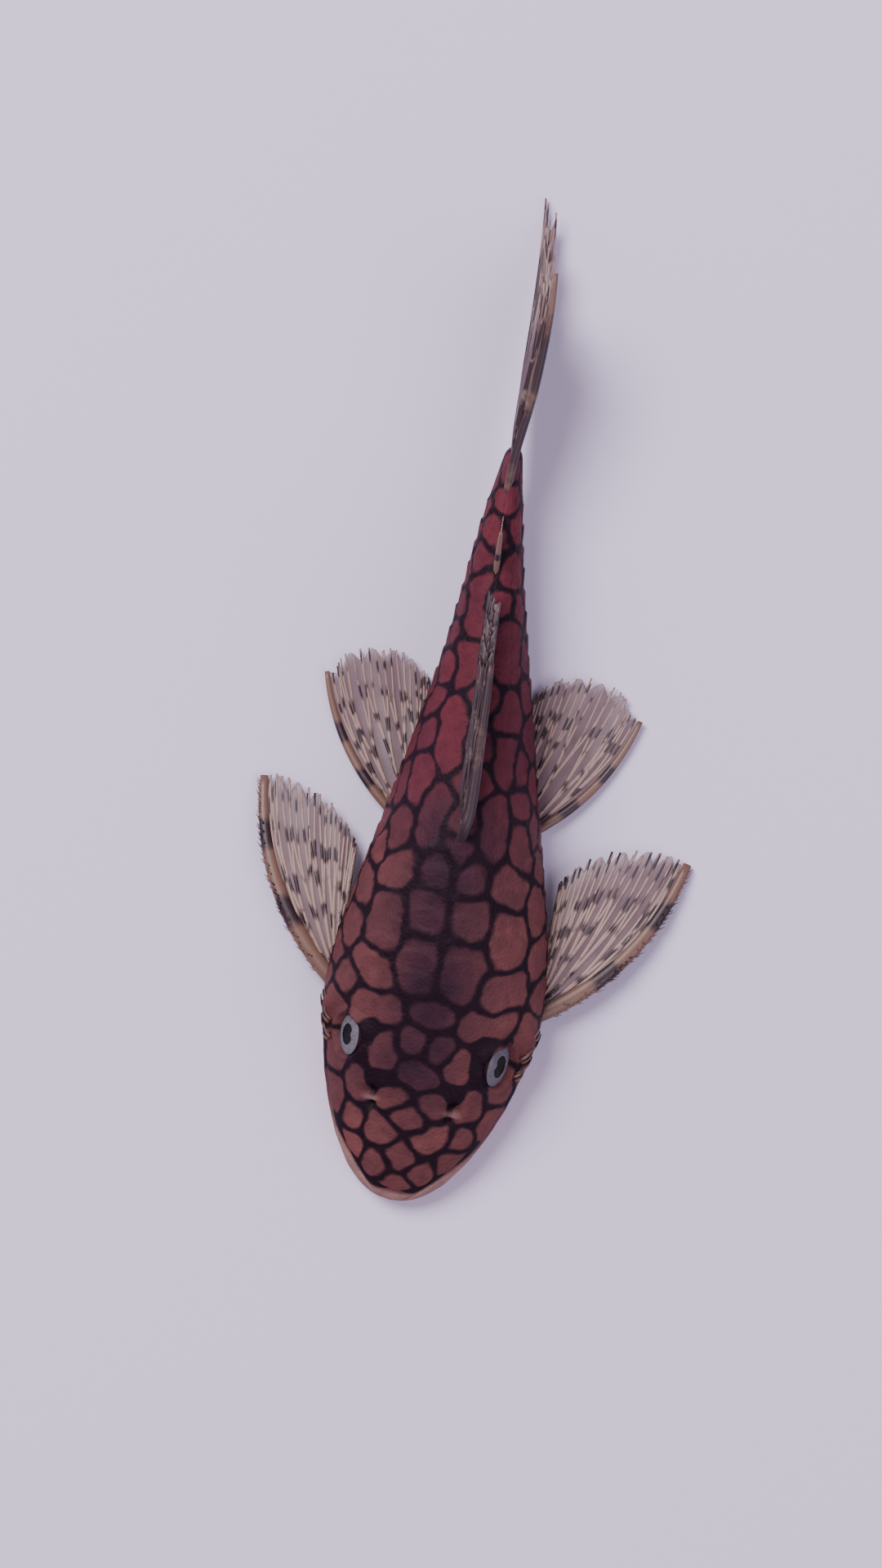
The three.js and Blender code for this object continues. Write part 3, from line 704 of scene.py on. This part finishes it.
def skin_between_rays(name, alpha):
    """A thin clear membrane, darker where the rays are dark."""
    material, shader = new_material(name, Roughness=0.4, IOR=1.36, Alpha=alpha)
    where = add(material, "ShaderNodeTexCoord").outputs["Object"]
    veil = add(material, "ShaderNodeTexNoise", {"Vector": where, "Scale": 700, "Detail": 3})
    veil_colour = add(
        material,
        "ShaderNodeMix",
        {0: veil.outputs["Fac"], 6: colour("5C434A"), 7: colour("93757A")},
        data_type="RGBA",
    )
    shaded = add(material, "ShaderNodeAttribute", attribute_name="dark").outputs["Fac"]
    membrane_colour = add(
        material,
        "ShaderNodeMix",
        {0: shaded, 6: veil_colour.outputs[2], 7: colour("1E1019")},
        data_type="RGBA",
    )
    connect(material, membrane_colour.outputs[2], shader.inputs["Base Color"])
    return material


# The membranes of the spread fins are clearer than those of the folded ones.
spread_membrane = skin_between_rays("fin_membrane", 0.45)
folded_membrane = skin_between_rays("folded_fin_membrane", 0.85)

# How far the edge falls back between two rays, and where flecks and bands lie along a ray.
scallop = 0.07
fleck_rows = (0.16, 0.36, 0.55, 0.74, 0.93)
spine_bands = (0.42, 0.76)
membrane_thickness = 0.08


def fin(
    name, node, point, rays, spine, ray_size,
    bands=spine_bands, start=-0.05, shade=lambda u: 0, veil=spread_membrane,
):
    """A membrane and its rays: u runs along a ray from root to tip, v from first ray to last."""
    rng = random.Random(name)
    gaps = rays - 1
    across = point(0.5, 0.55) - point(0.5, 0.45)
    along = point(0.55, 0.5) - point(0.45, 0.5)
    up = across.cross(along).normalized()

    bm = bmesh.new()
    bmesh.ops.create_grid(bm, x_segments=40, y_segments=gaps * 8, size=1)
    shade_layer = bm.verts.layers.float.new("dark")
    for vert in bm.verts:
        v = (vert.co.y + 1) / 2
        between = math.sin(math.pi * v * gaps) ** 2
        u = mix(start, 0.985 - scallop * between, (vert.co.x + 1) / 2)
        vert.co = point(u, v)
        vert[shade_layer] = shade(u)
    membrane = finish_mesh(bm, f"{name}_membrane", veil)
    thicken = membrane.modifiers.new("thickness", "SOLIDIFY")
    thicken.thickness = membrane_thickness * MM
    thicken.offset = 0
    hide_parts(node)

    # The stout first ray is the spine. One forked ray more fills the gap behind it.
    bm = bmesh.new()
    steps = 22
    for k in (0, 0.5, *range(1, rays)):
        v = k / gaps
        if k == 0:
            path = [point(mix(start, 1.0, i / steps), 0) for i in range(steps + 1)]
            rod(
                bm, path, lambda u: mix(spine, spine * 0.5, u**2.2),
                lambda u: shade(u) + max(bell((u - at) / 0.075) for at in bands),
                sides=12, flat=0.75, up=up, stout=1,
            )
            continue
        split = rng.uniform(0.12, 0.22)
        for a in (-1, 1):
            marks = [(at + rng.uniform(-0.05, 0.05), rng.uniform(0.35, 1.2)) for at in fleck_rows]
            for b in (-1, 1):
                spread = 0.56 / gaps * (1 if 1 <= k < gaps else 0.6)
                reach = 1 - rng.uniform(0, 0.05) * (k < gaps)

                def lane(u, a=a, b=b, v=v, split=split, spread=spread):
                    fork = a * 0.6 * smooth(u, split - 0.1, 0.7)
                    twig = b * 0.34 * smooth(u, split + 0.1, 0.95)
                    return min(max(v + spread * (fork + twig), 0), 1)

                def dashes(u, marks=marks):
                    return shade(u) + max(depth * bell((u - at) / 0.045) for at, depth in marks)

                places = [mix(start, reach, i / steps) for i in range(steps + 1)]
                path = [point(u, lane(u)) for u in places]
                rod(bm, path, lambda u: mix(ray_size, ray_size * 0.42, u), dashes, sides=6, up=up)
    ray_piece = finish_mesh(bm, f"{name}_rays", ray_material)
    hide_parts(node)


# The pectoral fins: a broad curved spine, set with small hooked teeth along its outer edge, and
# seven soft rays, spread to each side and lying just above the floor.
pectoral_root = 12.5
pectoral_length = track((0, 12.4), (0.17, 12.1), (0.5, 10.2), (0.83, 7.8), (1, 6.2))
hook_count = 70


def pectoral_point(mirror, spine_angle):
    at = place_from(pectoral_root)

    def point(u, v):
        angle = math.radians(mix(spine_angle, 0.5, v**1.15))
        length = pectoral_length(v)
        bow = 1.25 * (1 - v) ** 2 * 4 * u * (1 - u)
        s = pectoral_root - 0.1 + 1.6 * v + u * length * math.cos(angle) - bow * math.sin(angle)
        t = 6.3 - 0.25 * v + u * length * math.sin(angle) + bow * math.cos(angle)
        ripple = 0.12 * u * math.sin(v * 19) * v
        z = 1.75 + 0.35 * v + 0.9 * u * (1 - u) - u * mix(1.4, 0.8, v) + ripple
        return at(s, mirror * t, max(z, 0.15))

    return point


for name, mirror, spine_angle in (("left", 1, 34.5), ("right", -1, 28.5)):
    point = pectoral_point(mirror, spine_angle)
    fin(f"pectoral_{name}", f"pectoral_fin_{name}", point, 7, 0.5, 0.16, start=-0.12)
    bm = bmesh.new()
    hooks = random.Random(3)
    for k in range(hook_count):
        u = mix(0.05, 0.97, k / (hook_count - 1))
        along = (point(u + 0.02, 0) - point(u - 0.02, 0)).normalized()
        out = along.cross(Vector((0, 0, 1))) * mirror
        base = mix(0.5, 0.25, u**2.2)
        lean = math.radians(hooks.uniform(-35, 75))
        away = out * math.cos(lean) + Vector((0, 0, 1)) * math.sin(lean)
        root = point(u, 0) + away * base * 0.8 * MM
        length = 1.6 * hooks.uniform(0.16, 0.3)
        path = []
        for q in (0, 0.35, 0.7, 1):
            curl = away * 0.6 * q + along * (0.3 * q + 0.5 * q * q)
            path.append(root + curl * length * MM)
        on_band = 0.15 + max(bell((u - at) / 0.08) for at in spine_bands)
        rod(bm, path, lambda q: mix(0.055, 0.012, q), lambda q: on_band, sides=5, up=away, stout=1)
    piece = finish_mesh(bm, f"spine_hooks_{name}", ray_material)

# The pelvic fins: one spine and six rays each, spread flat beside the belly.
pelvic_root = 23
pelvic_length = track((0, 8.7), (0.2, 9.2), (0.5, 8.6), (0.8, 7.3), (1, 5.7))
for name, mirror, spine_angle in (("left", 1, 35), ("right", -1, 32.5)):
    at = place_from(pelvic_root)

    def point(u, v, at=at, mirror=mirror, spine_angle=spine_angle):
        angle = math.radians(mix(spine_angle, 7, v**0.8))
        length = pelvic_length(v)
        bow = 0.7 * (1 - v) ** 2 * 4 * u * (1 - u)
        s = pelvic_root + 2.2 * v + u * length * math.cos(angle) - bow * math.sin(angle)
        t = 4.55 - 2 * v + u * length * math.sin(angle) + bow * math.cos(angle)
        z = 0.92 - 0.42 * smooth(u, 0, 0.7) - 0.05 * v + 0.1 * u * math.sin(v * 17)
        return at(s, mirror * t, z)

    fin(f"pelvic_{name}", f"pelvic_fin_{name}", point, 6, 0.3, 0.14, bands=(0.3, 0.62), start=-0.1)

# The dorsal fin, folded down: a spine and eight rays lie close above the back, the membrane
# pleated between them.
dorsal_root = 20.9
dorsal_base = 10.1


def dorsal_point(u, v):
    root = dorsal_root + dorsal_base * v
    length = mix(11.2, 5.4, v)
    angle = math.radians(mix(5.5, 1.5, v))
    lift = 1.25 * smooth(u, 0, 0.13) - 0.7
    z = top_height(root) + lift + u * length * math.sin(angle) - 0.3 * u
    pleat = 0.36 * smooth(u, 0.02, 0.25) * math.cos(math.pi * v * 7)
    return place(root + u * length * math.cos(angle), pleat + 0.12 * v * u, z)


fin(
    "dorsal", "dorsal_fin", dorsal_point, 8, 0.34, 0.17,
    bands=(0.03, 0.3, 0.8), start=0, shade=lambda u: 0.58, veil=folded_membrane,
)

# The adipose fin: a short spine with a small sail of skin behind it.
adipose_root = 37.3


def adipose_point(u, v):
    root = adipose_root + 2.5 * v
    length = mix(3.1, 1.0, v)
    angle = math.radians(mix(38, 20, v))
    rise = u * length * math.sin(angle)
    return place(root + u * length * math.cos(angle), 0, top_height(root) - 0.35 + rise)


fin("adipose", "adipose_fin", adipose_point, 3, 0.26, 0.07, bands=(0.5,), start=-0.1)

# The anal fin: small, folded back under the tail.
anal_root = 30.2


def anal_point(u, v):
    root = anal_root + 2.2 * v
    z = underside(root) + 0.45 - u * mix(0.95, 0.65, v)
    return place(root + u * mix(5.2, 3.6, v), 0.06 * u * math.cos(math.pi * v * 3), max(z, 0.2))


fin("anal", "anal_fin", anal_point, 4, 0.18, 0.1, start=0, veil=folded_membrane)

# The tail fin, half folded: one stout ray along its upper edge and sixteen forked ones. It stands
# upright, so from above it is a narrow streak of pleats.
caudal_root = 42.2
caudal_length = track((0, 13.2), (0.15, 12.0), (0.4, 10.8), (0.65, 12.0), (0.88, 16.0), (1, 17.8))


def caudal_point(u, v):
    length = caudal_length(v)
    angle = math.radians(mix(13, -4.5, v))
    s = caudal_root + u * length * math.cos(angle)
    z = mix(5.95, 1.75, v) + u * length * math.sin(angle) + 0.35 * u * (1 - u) * (1 - 2 * v)
    pleat = 0.34 * smooth(u, 0.05, 0.5) * math.cos(math.pi * v * 15)
    t = (0.2 - 0.4 * v) * smooth(u, 0, 0.8) + 0.3 * v * smooth(u, 0.6, 1) + pleat
    return place(s, t, max(z, 0.2))


def caudal_shade(u):
    return 0.48 * (1 - smooth(u, 0.8, 0.92))


fin(
    "caudal", "caudal_fin", caudal_point, 16, 0.3, 0.13,
    bands=(0.25, 0.6), start=-0.02, shade=caudal_shade, veil=folded_membrane,
)

# The cheek's hooked spines: bony odontodes that the fish can spread, in a small tuft ahead of
# each gill opening.
spines_a_side = 12
bm = bmesh.new()
tuft = random.Random(11)
for mirror in (1, -1):
    for k in range(spines_a_side):
        spread = k / (spines_a_side - 1)
        s = 8.5 + 2.3 * spread
        w = 0.43 + 0.03 * math.sin(5 * k)
        t, z = section(s, w)
        length = 0.6 + 0.6 * spread * tuft.uniform(0.8, 1.1)
        root = Vector((s, t - 0.2, z))
        knee = Vector((s + length * 0.3, t + 0.24 + 0.12 * spread, z + 0.12))
        tip = Vector((s + length * 0.85, t + 0.2 + 0.16 * spread, z + 0.12 * math.cos(4 * k)))
        path = []
        for q in (0, 0.2, 0.4, 0.6, 0.8, 1):
            spot = root.lerp(knee, q).lerp(knee.lerp(tip, q), q)
            path.append(place(spot.x, spot.y * mirror, spot.z))
        rod(bm, path, lambda q: mix(0.1, 0.03, q), lambda q: 0.2 + 0.5 * q, sides=6, stout=1)
piece = finish_mesh(bm, "cheek_spines", ray_material)

# The sucker mouth: a soft disc of lips under the snout, its face set with rows of tiny bumps,
# with two toothed jaws in the hollow in the middle.
lip_material, shader = new_material("bare_lip_skin", Roughness=0.4, IOR=1.4, Subsurface_Weight=0.15)
where = add(lip_material, "ShaderNodeTexCoord").outputs["Object"]
blotch = add(lip_material, "ShaderNodeTexNoise", {"Vector": where, "Scale": 500, "Detail": 4})
lip_colour = add(
    lip_material,
    "ShaderNodeMix",
    {0: blotch.outputs["Fac"], 6: colour("8A5752"), 7: colour("BC8E82")},
    data_type="RGBA",
)
connect(lip_material, lip_colour.outputs[2], shader.inputs["Base Color"])
papillae = add(lip_material, "ShaderNodeTexVoronoi", {"Vector": where, "Scale": 3200})
bump = add(
    lip_material,
    "ShaderNodeBump",
    {"Height": papillae.outputs["Distance"], "Strength": 0.3, "Distance": 0.06 * MM},
    invert=True,
)
connect(lip_material, bump.outputs[0], shader.inputs["Normal"])

mouth_at = 4.7
mouth_half_width = 3.55
mouth_half_length = 2.75
mouth_thickness = 0.85
lip_profile = [
    (0, 0.45), (0.2, 0.44), (0.34, 0.4), (0.46, 0.28), (0.56, 0.1), (0.66, 0.03),
    (0.84, 0.02), (0.94, 0.08), (1, 0.3), (0.97, 0.6), (0.8, 0.85), (0, 1),
]
bm = bmesh.new()
verts = [bm.verts.new((radius, 0, height * mouth_thickness)) for radius, height in lip_profile]
edges = [bm.edges.new(pair) for pair in zip(verts, verts[1:])]
bmesh.ops.subdivide_edges(bm, edges=edges, cuts=2, smooth=0.6)
bmesh.ops.spin(
    bm,
    geom=bm.verts[:] + bm.edges[:],
    angle=math.tau,
    steps=96,
    axis=(0, 0, 1),
    cent=(0, 0, 0),
    use_merge=True,
)
bmesh.ops.remove_doubles(bm, verts=bm.verts, dist=0.0005)
for vert in bm.verts:
    x, y, z = vert.co
    radius = math.hypot(x, y)
    bumps = 0.07 * math.sin(radius * 34) * math.sin(math.atan2(y, x) * round(radius * 40 + 1))
    lower = z < 0.35
    frill = 1 + 0.03 * math.sin(math.atan2(y, x) * 17) * smooth(radius, 0.7, 1)
    z = max(z - (bumps if lower and radius > 0.55 else 0), 0.01)
    vert.co = place(mouth_at + y * mouth_half_length * frill, x * mouth_half_width * frill, z)
mouth = finish_mesh(bm, "lips", lip_material)
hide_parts("sucker_mouth")

teeth_in_row = 22
bm = bmesh.new()
for ahead, bow in ((-0.42, -0.5), (0.5, 0.55)):
    for mirror in (1, -1):
        for k in range(teeth_in_row):
            q = k / (teeth_in_row - 1)
            s = mouth_at + ahead + bow * q * q
            t = mirror * mix(0.14, 1.2, q)
            lean = -0.35 if ahead > 0 else 0.35
            path = [place(s + lean * r * r, t, 0.5 - 0.34 * r) for r in (0, 0.4, 0.8, 1)]
            rod(
                bm, path, lambda r: mix(0.045, 0.03, r), lambda r: 0.1 + 0.5 * r,
                sides=5, up=Vector((0, 1, 0)),
            )
teeth_piece = finish_mesh(bm, "jaw_teeth", ray_material)

# A short whisker at each corner of the mouth, lying back along the lip.
whisker_steps = 14
for name, mirror in (("left", 1), ("right", -1)):
    bm = bmesh.new()
    corner = Vector((mouth_at + 0.2, mouth_half_width + 0.72, 0.34))
    bend = Vector((mouth_at + 0.9, mouth_half_width + 0.95, 0.3))
    tip = Vector((mouth_at + 1.9, mouth_half_width + 0.85, 0.26))
    path = []
    for i in range(whisker_steps + 1):
        q = i / whisker_steps
        spot = corner.lerp(bend, q).lerp(bend.lerp(tip, q), q)
        path.append(place(spot.x, spot.y * mirror, spot.z))
    rod(bm, path, lambda q: mix(0.25, 0.09, q), lambda q: 0, sides=12)
    piece = finish_mesh(bm, f"mouth_whisker_{name}", lip_material)
    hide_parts(f"whisker_{name}")

# The floor is plain and pale. A large soft lamp stands high on the animal's right, with a weaker
# one opposite, and the camera looks straight down as in the photograph.
floor_half = 3
bm = bmesh.new()
bmesh.ops.create_grid(bm, x_segments=1, y_segments=1, size=floor_half)
mesh = bpy.data.meshes.new("floor")
bm.to_mesh(mesh)
bm.free()
floor_material, shader = new_material("matt_floor", Roughness=0.85)
shader.inputs["Base Color"].default_value = colour("CDBFDC")
mesh.materials.append(floor_material)
floor = bpy.data.objects.new("floor", mesh)
bpy.context.scene.collection.objects.link(floor)


def lamp(name, spot, size, power, tint):
    light = bpy.data.lights.new(name, "AREA")
    light.shape = "DISK"
    light.size = size
    light.energy = power
    light.color = colour(tint)[:3]
    lamp_object = bpy.data.objects.new(name, light)
    lamp_object.location = spot
    lamp_object.rotation_euler = (-Vector(spot)).to_track_quat("-Z", "Y").to_euler()
    bpy.context.scene.collection.objects.link(lamp_object)


lamp("key_lamp", (-0.28, 0.22, 0.5), 0.35, 6.0, "FFFFFF")
lamp("fill_lamp", (0.35, -0.2, 0.45), 0.5, 2.0, "F4EEFF")

world = bpy.data.worlds.new("studio")
world.use_nodes = True
world.node_tree.nodes["Background"].inputs["Color"].default_value = colour("F3EEF8")
world.node_tree.nodes["Background"].inputs["Strength"].default_value = 0.45
bpy.context.scene.world = world

# The photograph's centre lies beside the trunk, and its 1920 pixels cover 92.2 mm of the animal.
photo_turn = math.radians(9.0)
photo_height = 92.2
photo_centre = Vector((-0.85, 24.7, 3.0))
lens = 200
sensor = 36
camera_data = bpy.data.cameras.new("camera")
camera_data.lens = lens
camera_data.sensor_width = sensor
camera_data.clip_start = 0.01
camera = bpy.data.objects.new("camera", camera_data)
distance = photo_height * lens / sensor
camera.location = snout + MM * (photo_centre + Vector((0, 0, distance)))
camera.rotation_euler = (0, 0, photo_turn)
bpy.context.scene.collection.objects.link(camera)
bpy.context.scene.camera = camera
